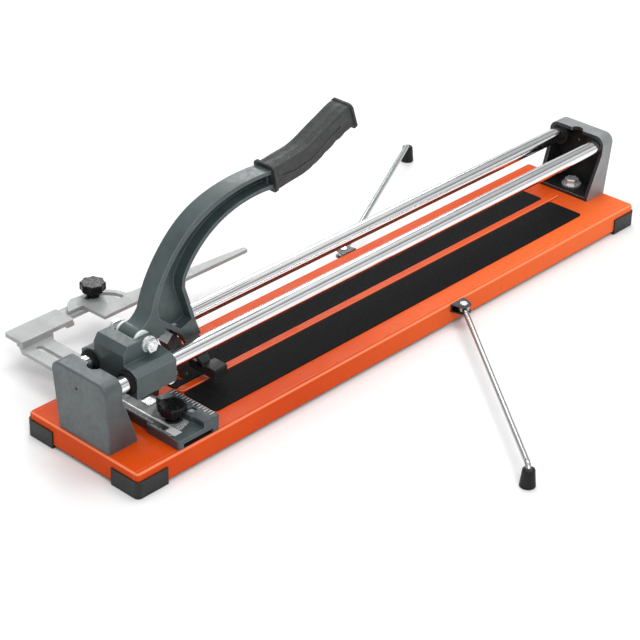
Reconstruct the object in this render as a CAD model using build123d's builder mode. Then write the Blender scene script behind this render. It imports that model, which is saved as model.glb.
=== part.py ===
from build123d import *
import os
from math import cos, radians, sin

os.makedirs("parts", exist_ok=True)

# Manual tile cutter, in millimetres. +X runs along the rails away from the fence end, +Y is the
# side with the extension arm and +Z is up. The origin is on the bench, under the middle of the base.

# ---- base pan and bed
BASE_L = 1014.0
BASE_W = 200.0
BASE_TOP = 34.3
SKIRT_Z = 5.0
SHEET = 2.0
BEND_R = 4.0
RIB_X0 = -345.0
RIB_X1 = 447.0
RIB_W = 12.0
RIB_TOP = 37.0
PAD_X0 = -345.0
PAD_X1 = 420.0
PAD_Y0 = 7.0
PAD_Y1 = 67.0
PAD_T = 1.7
GUARD_X = 50.0
GUARD_Y = 48.0
GUARD_H = 24.0
GUARD_T = 2.0
SPINE_L = 620.0
SPINE_W = 36.0
SPINE_Z = 6.0

# ---- rails and end brackets
RAIL_R = 11.0
RAIL_Y = 33.3
RAIL_Z = 114.1
NEAR_FACE = -503.0
FAR_FACE = 506.0
BRACKET_D = 45.0
BRACKET_TOP_D = 21.0
BRACKET_HALF = 46.0
BRACKET_TOP_HALF = 50.0
BRACKET_LEAN = 6.0
BRACKET_CORNER = 14.0
BRACKET_HOLE = (5.0, 109.0)
BRACKET_HOLE_R = 2.4
BRACKET_TOP = 133.0
WALL = 5.0
BOSS_R = 15.0
BOSS_END = 19.0
SLEEVE_R = 16.6
LINER_T = 1.5
BOLT_X = 22.5
BOLT_R = 5.9

# ---- fence casting and its clamp
FENCE_X0 = -437.0
FENCE_STEP = -396.0
FENCE_X1 = -367.0
FENCE_HALF = 97.0
FENCE_LOW = 47.0
FENCE_HIGH = 55.0
CHANNEL_X0 = -428.5
CHANNEL_X1 = -378.5
CHANNEL_TOP = 40.5
CLAMP = (-406.5, -54.0)
CLAMP_R = 2.95
SCREW_X = -383.6
SCREW_Y = 63.8
MOUNT_X = -372.7
MOUNT_Y = 60.0

# ---- extension arm and swivel fence
ARM_X0 = -427.0
ARM_X1 = -379.0
ARM_Y0 = -75.0
ARM_Y1 = 225.0
ARM_Z0 = 34.6
ARM_Z1 = 40.0
SLOT_X = -405.0
SLOT_Y0 = -67.0
SLOT_Y1 = 204.0
TRAY_X1 = -336.0
TRAY_Y0 = 211.0
TRAY_Y1 = 248.0
TRAY_Z0 = 44.0
TRAY_Z1 = 50.0
LUG_Z0 = 39.0
LUG_Y0 = 226.0
LUG_Z1 = 44.7
SWIVEL = (-283.0, 209.0)
STUD = (-277.0, 240.0)
STUD_R = 3.95
SWIVEL_Z0 = 45.0
SWIVEL_Z1 = 50.0
HEAD_R = 44.0
LOBE_R = 51.0
ARC_R = 31.57
ARC_FROM = 8.0
ARC_SPAN = 89.0
FENCE_EDGE = 187.0
FENCE_TIP = -32.0
KNOB_R = 18.0
KNOB_H = 12.5
KNOB_TOTAL = 21.0
KNOB_BORE = 16.0
NECK_R = 9.0

# ---- folding legs
LEG_X = 87.0
LEG_Y = 112.0
LEG_Z = 28.0
LEG_R = 4.0
LEG_LEN = 386.0
LEG_BEND_R = 12.0
RIGHT_ANGLE = 231.1
LEFT_ANGLE = 26.8
LEG_FOOT_H = 25.0

# ---- carriage
CAR_X0 = -459.0
CAR_X1 = -395.0
CAR_Z0 = 96.0
PIVOT_X = -420.0
PIVOT_Z = 149.0
PIVOT_R = 4.95
HOUSING_TOP = 157.0
EAR_IN = 18.0
EAR_OUT = 27.0
EAR_X1 = -403.0
EAR_CORNER = 11.0
BUSH_R = 16.0
BUSH_GAP = 0.05
ROLLER_R = 8.0
ROLLER_X = -396.0
ROLLER_Y = 38.8
ROLLER_Z = RAIL_Z - RAIL_R - ROLLER_R - 0.05

# ---- lever, scoring wheel and breaker foot
HUB_R = 13.0
HUB_HALF = 14.0
LEVER_HALF = 13.0
WEB_HALF = 2.5
AXLE = (-338.0, 61.5)
WHEEL_R = 11.0
HOLDER_HALF = 8.0
HOLDER_SCREW = (-358.0, 113.0)
TENON = (-353.0, 127.0)
TENON_HALF = 3.0
FOOT_PIN = (-298.0, 57.0)
FOOT_PIN_R = 3.0
FOOT_Z0 = 49.0
FOOT_Z1 = 62.0
TOE_R = 5.5
TOE_HALF = 5.0
OUTER_EDGE = [(-402, 168), (-395, 193), (-368, 238), (-325, 276), (-274, 294), (-195.3, 298)]
INNER_EDGE = [(-190, 271.5), (-238, 271), (-290, 255), (-331, 221), (-343, 203)]
TANG = [
    (-194, 277),
    (-160, 281),
    (-110, 298),
    (-72, 312),
    (-76, 322),
    (-113, 310),
    (-161, 293.5),
    (-194, 291),
]
# Grip sections from the lever to the end: x, z, slope in degrees, height and width.
GRIP = [
    (-190.3, 285.0, 10.0, 34.0, 31.0),
    (-172.0, 286.4, 8.0, 34.0, 31.0),
    (-153.0, 288.7, 10.5, 34.0, 31.0),
    (-131.0, 293.0, 17.0, 34.0, 31.0),
    (-112.0, 300.7, 23.0, 34.0, 31.0),
    (-92.0, 310.2, 24.5, 34.0, 31.0),
    (-70.0, 320.0, 21.0, 34.0, 31.5),
    (-47.5, 326.3, 16.0, 33.5, 32.0),
]
GRIP_FLANGES = [(-190.3, 284.8, 12.0), (-47.0, 325.8, 19.5)]
GRIP_CORNER = 4.0
SCALLOPS = [(-116.5, 271.4), (-94.5, 281.7), (-74.5, 291.5), (-57.5, 298.5)]
GROOVE = [(-177, 288), (-154, 287), (-121, 293.8), (-95, 309.3), (-72, 320)]


def save(piece, name):
    """Label a finished piece and write it as its own STEP file."""
    piece.part.label = name
    export_step(piece.part, f"parts/{name}.step")


def save_mirrored(piece, name, plane):
    """Write the mirror image of a finished piece under another name."""
    with BuildPart() as twin:
        mirror(piece.part, about=plane)
    save(twin, name)


def polar(centre, radius, angle):
    """Point at a radius and an angle in degrees around a centre."""
    return (centre[0] + radius * cos(radians(angle)), centre[1] + radius * sin(radians(angle)))


# ---------------------------------------------------------------- base
def make_base_pan():
    """Folded sheet pan, open below, with the breaking rib pressed along its middle."""
    with BuildPart() as hollow:
        with BuildSketch(Plane.XY.offset(SKIRT_Z)):
            RectangleRounded(BASE_L - 2 * SHEET, BASE_W - 2 * SHEET, 3)
        extrude(amount=BASE_TOP - SHEET - SKIRT_Z)
        fillet(hollow.faces().sort_by(Axis.Z)[-1].edges(), BEND_R - SHEET)
    with BuildPart() as pan:
        with BuildSketch(Plane.XY.offset(SKIRT_Z)):
            RectangleRounded(BASE_L, BASE_W, 5)
        extrude(amount=BASE_TOP - SKIRT_Z)
        fillet(pan.faces().sort_by(Axis.Z)[-1].edges(), BEND_R)
        add(hollow.part, mode=Mode.SUBTRACT)
        with BuildSketch(Plane.XY.offset(BASE_TOP - SHEET)):
            with Locations(((RIB_X0 + RIB_X1) / 2, 0)):
                SlotOverall(RIB_X1 - RIB_X0, RIB_W)
        extrude(amount=RIB_TOP - BASE_TOP + SHEET)
        fillet(pan.faces().sort_by(Axis.Z)[-1].edges(), 2)
        with Locations((NEAR_FACE + BOLT_X, 0, BASE_TOP), (FAR_FACE - BOLT_X, 0, BASE_TOP)):
            Hole(BOLT_R + 0.1, depth=SHEET)
        with Locations((*CLAMP, BASE_TOP)):
            Hole(CLAMP_R + 0.05, depth=SHEET)
        with Locations((MOUNT_X, -MOUNT_Y, BASE_TOP), (MOUNT_X, MOUNT_Y, BASE_TOP)):
            Hole(2.05, depth=SHEET)
    save(pan, "base_pan")


def make_pads():
    """Two long rubber pads that the tile lies on, one each side of the rib."""
    for name, side in (("right", -1), ("left", 1)):
        with BuildPart() as pad:
            with BuildSketch(Plane.XY.offset(BASE_TOP)):
                with Locations(((PAD_X0 + PAD_X1) / 2, side * (PAD_Y0 + PAD_Y1) / 2)):
                    RectangleRounded(PAD_X1 - PAD_X0, PAD_Y1 - PAD_Y0, 5)
            extrude(amount=PAD_T)
            fillet(pad.faces().sort_by(Axis.Z)[-1].edges(), 0.5)
        save(pad, f"bed_pad_{name}")


def make_guards():
    """Moulded guards round the four bottom corners, which also stand on the bench."""
    with BuildPart() as guard:
        with BuildSketch():
            with Locations((BASE_L / 2 + GUARD_T, BASE_W / 2 + GUARD_T)):
                Rectangle(GUARD_X, GUARD_Y, align=(Align.MAX, Align.MAX))
        extrude(amount=GUARD_H)
        fillet(guard.edges().filter_by(Axis.Z).group_by(Axis.X)[-1].sort_by(Axis.Y)[-1], 7)
        with BuildSketch(Plane.XY.offset(SKIRT_Z)):
            RectangleRounded(BASE_L, BASE_W, 5)
        extrude(amount=GUARD_H, mode=Mode.SUBTRACT)
        with BuildSketch():
            Rectangle(BASE_L - 22, BASE_W - 22)
        extrude(amount=GUARD_H, mode=Mode.SUBTRACT)
    save(guard, "corner_guard_far_left")
    save_mirrored(guard, "corner_guard_far_right", Plane.XZ)
    with BuildPart() as near:
        mirror(guard.part, about=Plane.YZ)
    save(near, "corner_guard_near_left")
    save_mirrored(near, "corner_guard_near_right", Plane.XZ)


def make_spine():
    """Folded channel under the rib that carries the breaking load, on a rubber centre foot."""
    roof = BASE_TOP - SHEET
    with BuildPart() as spine:
        with BuildSketch(Plane.YZ.offset(-SPINE_L / 2)):
            with Locations((0, SPINE_Z)):
                Rectangle(SPINE_W, roof - SPINE_Z, align=(Align.CENTER, Align.MIN))
            with Locations((0, SPINE_Z + SHEET)):
                Rectangle(SPINE_W - 2 * SHEET, roof, align=(Align.CENTER, Align.MIN), mode=Mode.SUBTRACT)
        extrude(amount=SPINE_L)
    save(spine, "bed_spine")
    with BuildPart() as foot:
        with BuildSketch():
            RectangleRounded(90, SPINE_W, 6)
        extrude(amount=SPINE_Z)
        chamfer(foot.faces().sort_by(Axis.Z)[0].edges(), 1)
    save(foot, "centre_foot")


# ---------------------------------------------------------------- rails and brackets
def bracket_outline(x, inset, low):
    """End view of a bracket, inset from its outer skin, wider at its round top corners."""
    half = BRACKET_HALF - inset
    top_half = BRACKET_TOP_HALF - inset
    top = BRACKET_TOP - inset
    with BuildSketch(Plane.YZ.offset(x)) as outline:
        with BuildLine():
            Polyline((-half, low), (half, low), (top_half, top), (-top_half, top), close=True)
        make_face()
        fillet(outline.vertices().group_by(Axis.Y)[-1], BRACKET_CORNER - inset)
    return outline


def bracket_profile(back):
    """Side view of a bracket: a deep foot, a narrow top and an end face that leans out."""
    foot_x = NEAR_FACE + BRACKET_D - back
    top_x = NEAR_FACE + BRACKET_TOP_D - back
    with BuildSketch(Plane.XZ) as profile:
        with BuildLine():
            Polyline(
                (NEAR_FACE, BASE_TOP),
                (foot_x, BASE_TOP),
                (foot_x, BASE_TOP + WALL),
                (top_x, 105),
                (top_x, BRACKET_TOP),
                (NEAR_FACE - BRACKET_LEAN, BRACKET_TOP),
                close=True,
            )
        make_face()
    return profile.sketch


def make_bracket():
    """Hollow end casting, open towards the rails, with two blind rail sockets."""
    skin = bracket_outline(NEAR_FACE - BRACKET_LEAN, 0, BASE_TOP)
    inside = bracket_outline(NEAR_FACE + WALL, WALL, BASE_TOP + WALL)
    profile = bracket_profile(0)
    with BuildPart() as bracket:
        extrude(skin.sketch, amount=BRACKET_D + BRACKET_LEAN)
        extrude(profile, amount=60, both=True, mode=Mode.INTERSECT)
        fillet(bracket.faces().sort_by(Axis.X)[0].edges().sort_by(Axis.Z)[1:], 2.5)
        extrude(inside.sketch, amount=BRACKET_D, mode=Mode.SUBTRACT)
        with BuildSketch(Plane.YZ.offset(NEAR_FACE + WALL)) as bosses:
            with Locations((-RAIL_Y, RAIL_Z), (RAIL_Y, RAIL_Z)):
                Circle(BOSS_R)
            add(inside.sketch_local, mode=Mode.INTERSECT)
        extrude(amount=BOSS_END - WALL)
        with BuildSketch(Plane.YZ.offset(NEAR_FACE + 3)):
            with Locations((-RAIL_Y, RAIL_Z), (RAIL_Y, RAIL_Z)):
                Circle(RAIL_R + 0.05)
        extrude(amount=BRACKET_D, mode=Mode.SUBTRACT)
        with BuildSketch(Plane.XY.offset(BRACKET_TOP - WALL - 1)):
            with Locations((NEAR_FACE + BRACKET_TOP_D + 1, 0)):
                Circle(10)
        extrude(amount=12, mode=Mode.SUBTRACT)
        with Locations((NEAR_FACE + BOLT_X, 0, BASE_TOP + WALL)):
            Hole(BOLT_R + 0.1, depth=WALL)
        with BuildSketch(Plane.YZ.offset(NEAR_FACE - BRACKET_LEAN)):
            with Locations(BRACKET_HOLE):
                Circle(BRACKET_HOLE_R)
        extrude(amount=WALL + BRACKET_LEAN, mode=Mode.SUBTRACT)
    save(bracket, "near_bracket")
    return bracket


def make_liner():
    """Moulded liner of a bracket: an open cup with a sleeve round each rail boss."""
    skin = bracket_outline(NEAR_FACE + WALL, WALL + 0.05, BASE_TOP + WALL)
    inside = bracket_outline(NEAR_FACE + WALL + LINER_T, WALL + LINER_T, BASE_TOP + WALL + LINER_T)
    profile = bracket_profile(0.6)
    with BuildPart() as liner:
        extrude(skin.sketch, amount=BRACKET_D)
        extrude(profile, amount=60, both=True, mode=Mode.INTERSECT)
        extrude(inside.sketch, amount=BRACKET_D, mode=Mode.SUBTRACT)
        with BuildSketch(Plane.YZ.offset(NEAR_FACE + WALL)):
            with Locations((-RAIL_Y, RAIL_Z), (RAIL_Y, RAIL_Z)):
                Circle(SLEEVE_R)
            add(skin.sketch_local, mode=Mode.INTERSECT)
        extrude(amount=BOSS_END + LINER_T - WALL)
        with BuildSketch(Plane.YZ.offset(NEAR_FACE + WALL)):
            with Locations((-RAIL_Y, RAIL_Z), (RAIL_Y, RAIL_Z)):
                Circle(BOSS_R + 0.05)
        extrude(amount=BOSS_END - WALL, mode=Mode.SUBTRACT)
        with BuildSketch(Plane.YZ.offset(NEAR_FACE + WALL)):
            with Locations((-RAIL_Y, RAIL_Z), (RAIL_Y, RAIL_Z)):
                Circle(RAIL_R + 0.2)
            with Locations(BRACKET_HOLE):
                Circle(BRACKET_HOLE_R)
        extrude(amount=BRACKET_D, mode=Mode.SUBTRACT)
        with BuildSketch(Plane.XY.offset(BRACKET_TOP - WALL - 4)):
            with Locations((NEAR_FACE + BRACKET_TOP_D + 1, 0)):
                Circle(10)
        extrude(amount=12, mode=Mode.SUBTRACT)
        with Locations((NEAR_FACE + BOLT_X, 0, BASE_TOP + WALL + LINER_T)):
            Hole(BOLT_R + 0.1, depth=LINER_T)
    save(liner, "near_bracket_liner")
    return liner


def make_far_end(bracket, liner):
    """The far bracket and liner are the same mouldings, turned to face the near ones."""
    middle = Plane.YZ.offset((NEAR_FACE + FAR_FACE) / 2)
    save_mirrored(bracket, "far_bracket", middle)
    save_mirrored(liner, "far_bracket_liner", middle)


def make_rails():
    """Two ground and chromed round bars, seated in both brackets."""
    start = NEAR_FACE + 3
    end = FAR_FACE - 3
    for name, side in (("right", -1), ("left", 1)):
        with BuildPart() as rail:
            with BuildSketch(Plane.YZ.offset(start)):
                with Locations((side * RAIL_Y, RAIL_Z)):
                    Circle(RAIL_R)
            extrude(amount=end - start)
            chamfer(rail.edges().filter_by(GeomType.CIRCLE), 0.6)
        save(rail, f"rail_{name}")


def make_bracket_fasteners():
    """A hexagon bolt, a washer and a nut hold each bracket to the pan."""
    spots = [(NEAR_FACE + BOLT_X, 0), (FAR_FACE - BOLT_X, 0)]
    seat = BASE_TOP + WALL + LINER_T
    under = BASE_TOP - SHEET
    with BuildPart() as washers:
        with BuildSketch(Plane.XY.offset(seat)):
            with Locations(*spots):
                Circle(15)
                Circle(BOLT_R + 0.1, mode=Mode.SUBTRACT)
        extrude(amount=2.5)
    save(washers, "bracket_washers")
    with BuildPart() as bolts:
        with BuildSketch(Plane.XY.offset(seat + 2.5)):
            with Locations(*spots):
                RegularPolygon(9.5, 6, major_radius=False)
        extrude(amount=8)
        chamfer(bolts.faces().filter_by(Axis.Z).group_by(Axis.Z)[-1].edges(), 1)
        with BuildSketch(Plane.XY.offset(14)):
            with Locations(*spots):
                Circle(BOLT_R)
        extrude(amount=seat + 2.5 - 14)
    save(bolts, "bracket_bolts")
    with BuildPart() as nuts:
        with BuildSketch(Plane.XY.offset(under - 3)):
            with Locations(*spots):
                Circle(15)
        extrude(amount=3)
        with BuildSketch(Plane.XY.offset(under - 13)):
            with Locations(*spots):
                RegularPolygon(9.5, 6, major_radius=False)
        extrude(amount=10)
        with Locations(*[(x, y, under) for x, y in spots]):
            Hole(BOLT_R + 0.05, depth=14)
    save(nuts, "bracket_nuts")


# ---------------------------------------------------------------- fence casting
def make_fence_bar():
    """Square fence across the bed: a low clamp step and two raised ends with a wheel gap."""
    with BuildPart() as bar:
        with BuildSketch(Plane.XY.offset(BASE_TOP)) as low:
            with BuildLine():
                Polyline(
                    (FENCE_X0, -FENCE_HALF),
                    (FENCE_X1, -FENCE_HALF),
                    (FENCE_X1, -13),
                    (-390, -13),
                    (-390, 13),
                    (FENCE_X1, 13),
                    (FENCE_X1, FENCE_HALF),
                    (FENCE_X0, FENCE_HALF),
                    (FENCE_X0, 41),
                    (-433, 37),
                    (-433, -37),
                    (FENCE_X0, -41),
                    close=True,
                )
            make_face()
            fillet(low.vertices().group_by(Axis.Y)[0] + low.vertices().group_by(Axis.Y)[-1], 4)
        extrude(amount=FENCE_LOW - BASE_TOP)
        with BuildSketch(Plane.XY.offset(FENCE_LOW)) as high:
            for side in (-1, 1):
                with BuildLine():
                    Polyline(
                        (FENCE_STEP, side * 13),
                        (FENCE_X1, side * 13),
                        (FENCE_X1, side * FENCE_HALF),
                        (-394, side * FENCE_HALF),
                        (-394, side * 79),
                        (FENCE_STEP, side * 75),
                        close=True,
                    )
                make_face()
            fillet(high.vertices().group_by(Axis.X)[-1].filter_by(lambda v: abs(v.Y) > 50), 4)
        extrude(amount=FENCE_HIGH - FENCE_LOW)
        fillet(bar.faces().filter_by(Axis.Z).group_by(Axis.Z)[-1].edges(), 1.2)
        with BuildSketch(Plane.XY.offset(BASE_TOP)):
            with Locations((CHANNEL_X0, 0)):
                Rectangle(
                    CHANNEL_X1 - CHANNEL_X0,
                    2 * FENCE_HALF + 2,
                    align=(Align.MIN, Align.CENTER),
                )
        extrude(amount=CHANNEL_TOP - BASE_TOP, mode=Mode.SUBTRACT)
        with Locations((*CLAMP, FENCE_LOW)):
            Hole(CLAMP_R + 0.05, depth=25)
        with Locations((SCREW_X, -SCREW_Y, FENCE_HIGH), (SCREW_X, SCREW_Y, FENCE_HIGH)):
            CounterBoreHole(2.55, 6, 7, depth=15)
        with Locations((MOUNT_X, -MOUNT_Y, FENCE_LOW - 2), (MOUNT_X, MOUNT_Y, FENCE_LOW - 2)):
            Hole(2.05, depth=12)
    save(bar, "fence_bar")


def make_scales():
    """Thin printed metal scales on the low step, one straight and two round the clamp knob."""
    with BuildPart() as strip:
        with BuildSketch(Plane.XY.offset(FENCE_LOW)):
            with BuildLine():
                Polyline((-436, -84), (-419, -84), (-419, -43), (-421, -36), (-421, 84), (-432, 84),
                         (-432, -38), (-436, -42), close=True)
            make_face()
        extrude(amount=0.5)
    save(strip, "scale_strip")
    with BuildPart() as plates:
        with BuildSketch(Plane.XY.offset(FENCE_LOW)):
            with Locations((-400, -5)):
                Rectangle(15, 15)
            with BuildLine():
                Polyline((-418, -80), (-397, -74), (-397, -48), (-418, -48), close=True)
            make_face()
            with Locations(CLAMP):
                Circle(13, mode=Mode.SUBTRACT)
        extrude(amount=0.5)
    save(plates, "scale_plates")


def make_fence_fasteners():
    """Guide screws in the raised ends, mounting screws from below, and the clamp bolt."""
    seat = FENCE_HIGH - 7
    with BuildPart() as screws:
        with BuildSketch(Plane.XY.offset(seat)):
            with Locations((SCREW_X, -SCREW_Y), (SCREW_X, SCREW_Y)):
                Circle(5)
        extrude(amount=4)
        with BuildSketch(Plane.XY.offset(seat + 1.5)):
            with Locations((SCREW_X, -SCREW_Y), (SCREW_X, SCREW_Y)):
                RegularPolygon(2, 6, major_radius=False)
        extrude(amount=4, mode=Mode.SUBTRACT)
        with BuildSketch(Plane.XY.offset(CHANNEL_TOP + 0.7)):
            with Locations((SCREW_X, -SCREW_Y), (SCREW_X, SCREW_Y)):
                Circle(2.5)
        extrude(amount=seat - CHANNEL_TOP - 0.7)
    save(screws, "fence_screws")
    spots = [(MOUNT_X, -MOUNT_Y), (MOUNT_X, MOUNT_Y)]
    with BuildPart() as mounts:
        with BuildSketch(Plane.XY.offset(BASE_TOP - SHEET - 2.5)):
            with Locations(*spots):
                Circle(3.8)
        extrude(amount=2.5)
        with BuildSketch(Plane.XY.offset(BASE_TOP - SHEET)):
            with Locations(*spots):
                Circle(2)
        extrude(amount=12)
    save(mounts, "fence_mount_screws")
    with BuildPart() as bolt:
        with BuildSketch(Plane.XY.offset(BASE_TOP - SHEET - 4.3)):
            with Locations(CLAMP):
                RegularPolygon(5, 6, major_radius=False)
        extrude(amount=4.3)
        with BuildSketch(Plane.XY.offset(BASE_TOP - SHEET)):
            with Locations(CLAMP):
                Circle(CLAMP_R)
        extrude(amount=61 - BASE_TOP + SHEET)
        chamfer(bolt.faces().sort_by(Axis.Z)[-1].edges(), 0.8)
    save(bolt, "clamp_bolt")


def make_knob(centre, seat, name):
    """Eight-lobed clamping knob with a tapered neck that reaches down to its seat."""
    neck_top = seat + KNOB_TOTAL - KNOB_H
    with BuildPart() as knob:
        with BuildSketch(Plane.XY.offset(neck_top)) as star:
            with Locations(centre):
                Circle(KNOB_R - 1.6)
                with PolarLocations(KNOB_R - 4.2, 8):
                    Circle(4.2)
            fillet(star.vertices(), 2)
        extrude(amount=KNOB_H)
        fillet(knob.faces().sort_by(Axis.Z)[-1].edges(), 1.8)
        chamfer(knob.faces().sort_by(Axis.Z)[0].edges(), 2.5)
        with BuildSketch(Plane.XY.offset(seat)):
            with Locations(centre):
                Circle(NECK_R)
        extrude(amount=neck_top - seat)
        with BuildSketch(Plane.XY.offset(seat)):
            with Locations(centre):
                Circle(5.5)
        extrude(amount=KNOB_BORE, mode=Mode.SUBTRACT)
    save(knob, name)


def make_insert(centre, seat, stud_radius, name):
    """Round brass insert with a through bore for the stud."""
    with BuildPart() as insert:
        with BuildSketch(Plane.XY.offset(seat + 0.5)):
            with Locations(centre):
                Circle(5.5)
                Circle(stud_radius + 0.07, mode=Mode.SUBTRACT)
        extrude(amount=KNOB_BORE - 0.5)
    save(insert, name)


def make_knobs():
    """The clamp knob on the fence casting and the lock knob of the swivel fence."""
    make_knob(CLAMP, FENCE_LOW + 0.3, "clamp_knob")
    make_insert(CLAMP, FENCE_LOW + 0.3, CLAMP_R, "clamp_knob_insert")
    make_knob(STUD, SWIVEL_Z1 + 0.3, "fence_knob")
    make_insert(STUD, SWIVEL_Z1 + 0.3, STUD_R, "fence_knob_insert")


# ---------------------------------------------------------------- extension arm and swivel fence
def make_extension():
    """Cast arm: a slotted tongue, a riser to a raised tray, and a lug under the swivel fence."""
    with BuildPart() as arm:
        with BuildSketch(Plane.XY.offset(ARM_Z0)):
            with BuildLine():
                Polyline(
                    (ARM_X0, ARM_Y0),
                    (ARM_X1, ARM_Y0),
                    (ARM_X1, TRAY_Y0 - 6),
                    (ARM_X1 + 7, TRAY_Y0),
                    (ARM_X1 + 7, ARM_Y1),
                    (ARM_X0 + 8, ARM_Y1),
                    (ARM_X0, ARM_Y1 - 16),
                    close=True,
                )
            make_face()
        extrude(amount=ARM_Z1 - ARM_Z0)
        with BuildSketch(Plane.XY.offset(ARM_Z1)):
            with Locations((-424, TRAY_Y0)):
                Rectangle(52, 12, align=(Align.MIN, Align.MIN))
        extrude(amount=TRAY_Z1 - ARM_Z1)
        with BuildSketch(Plane.XY.offset(TRAY_Z0)) as tray:
            with BuildLine():
                Polyline(
                    (-424, TRAY_Y0),
                    (TRAY_X1, TRAY_Y0),
                    (TRAY_X1, TRAY_Y1),
                    (-424, TRAY_Y1),
                    close=True,
                )
            make_face()
            fillet(tray.vertices(), 3)
        extrude(amount=TRAY_Z1 - TRAY_Z0)
        with BuildSketch(Plane.XY.offset(LUG_Z0)) as lug:
            with BuildLine():
                Polyline((-350, LUG_Y0), (-295, LUG_Y0), (-295, 200), (-268, 200), (-268, 250), (-330, 250),
                         (-350, 246), close=True)
            make_face()
            fillet(lug.vertices().group_by(Axis.X)[-1], 8)
            with Locations((-302, LUG_Y0 + 5)):
                SlotOverall(15, 7, mode=Mode.SUBTRACT)
        extrude(amount=LUG_Z1 - LUG_Z0)
        with BuildSketch(Plane.XY.offset(TRAY_Z0 - 4)):
            with Locations((TRAY_X1, TRAY_Y0)):
                Rectangle(12, 5, align=(Align.MAX, Align.MIN))
        extrude(amount=5)
        with BuildSketch(Plane.XY.offset(ARM_Z0)):
            with Locations((SLOT_X, (SLOT_Y0 + SLOT_Y1) / 2)):
                SlotOverall(SLOT_Y1 - SLOT_Y0, 10, rotation=90)
        extrude(amount=ARM_Z1 - ARM_Z0, mode=Mode.SUBTRACT)
        with Locations((*SWIVEL, LUG_Z1), (*STUD, LUG_Z1)):
            Hole(STUD_R + 0.02, depth=LUG_Z1 - LUG_Z0)
    save(arm, "extension_arm")
    with BuildPart() as stud:
        with BuildSketch(Plane.XY.offset(LUG_Z0 - 3)):
            with Locations(STUD):
                RegularPolygon(6, 6, major_radius=False)
        extrude(amount=3)
        with BuildSketch(Plane.XY.offset(LUG_Z0)):
            with Locations(STUD):
                Circle(STUD_R)
        extrude(amount=64 - LUG_Z0)
    save(stud, "fence_bolt")
    with BuildPart() as pin:
        with BuildSketch(Plane.XY.offset(LUG_Z0)):
            with Locations(SWIVEL):
                Circle(STUD_R)
        extrude(amount=SWIVEL_Z0 + 3 - LUG_Z0)
        with BuildSketch(Plane.XY.offset(LUG_Z0 - 2)):
            with Locations(SWIVEL):
                Circle(7)
        extrude(amount=2)
        fillet(pin.faces().sort_by(Axis.Z)[0].edges(), 1.2)
    save(pin, "swivel_pin")


def make_swivel_fence():
    """Flat cast fence that turns on its pin, locked through an arc slot in its round head."""
    start = polar(SWIVEL, HEAD_R, ARC_FROM)
    back = polar(SWIVEL, HEAD_R, 98)
    lobe = polar(SWIVEL, LOBE_R, 116)
    end = polar(SWIVEL, LOBE_R, 155)
    with BuildPart() as fence:
        with BuildSketch(Plane.XY.offset(SWIVEL_Z0)) as plate:
            with BuildLine():
                CenterArc(SWIVEL, HEAD_R, ARC_FROM, 98 - ARC_FROM)
                Polyline(back, lobe)
                CenterArc(SWIVEL, LOBE_R, 116, 155 - 116)
                Polyline(end, (-304, 230.5), (-303, FENCE_EDGE), (FENCE_TIP, FENCE_EDGE),
                         (FENCE_TIP, 196), (-66, 200), (-229, 213), start)
            make_face()
            fillet(plate.vertices().group_by(Axis.X)[-1], 3.5)
            with Locations(SWIVEL):
                SlotArc(CenterArc((0, 0), ARC_R, ARC_FROM, ARC_SPAN), 8.4, mode=Mode.SUBTRACT)
        extrude(amount=SWIVEL_Z1 - SWIVEL_Z0)
        chamfer(fence.faces().sort_by(Axis.Z)[-1].outer_wire().edges(), 0.6)
        with BuildSketch(Plane.XY.offset(SWIVEL_Z0)):
            with Locations(SWIVEL):
                Circle(STUD_R + 0.06)
        extrude(amount=3.2, mode=Mode.SUBTRACT)
    save(fence, "swivel_fence")


# ---------------------------------------------------------------- folding legs
def make_leg(name, pivot, angle):
    """Bent round rod with a flat eye at its pivot and a conical rubber foot."""
    out = (cos(radians(angle)), sin(radians(angle)), 0)
    across = Plane(origin=(*pivot, 0), x_dir=out, z_dir=(out[1], -out[0], 0))
    tip = polar(pivot, LEG_LEN, angle)
    with BuildPart() as leg:
        with BuildLine(across) as path:
            FilletPolyline((6.5, LEG_Z), (LEG_LEN, LEG_Z), (LEG_LEN, 7), radius=LEG_BEND_R)
        with BuildSketch(Plane(origin=path.line @ 0, z_dir=path.line % 0)):
            Circle(LEG_R)
        sweep()
        with BuildSketch(Plane.XY.offset(LEG_Z - 3.7)):
            with Locations(pivot):
                Circle(8)
        extrude(amount=7.4)
        with Locations((*pivot, LEG_Z + 4)):
            Hole(3.05, depth=8)
    save(leg, f"leg_{name}")
    with BuildPart() as foot:
        with BuildSketch():
            with Locations(tip):
                Circle(10.5)
        with BuildSketch(Plane.XY.offset(LEG_FOOT_H)):
            with Locations(tip):
                Circle(8)
        loft()
        fillet(foot.edges().sort_by(Axis.Z)[-1], 2)
        chamfer(foot.faces().sort_by(Axis.Z)[0].edges(), 1)
        add(leg.part, mode=Mode.SUBTRACT)
    save(foot, f"leg_foot_{name}")


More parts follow.
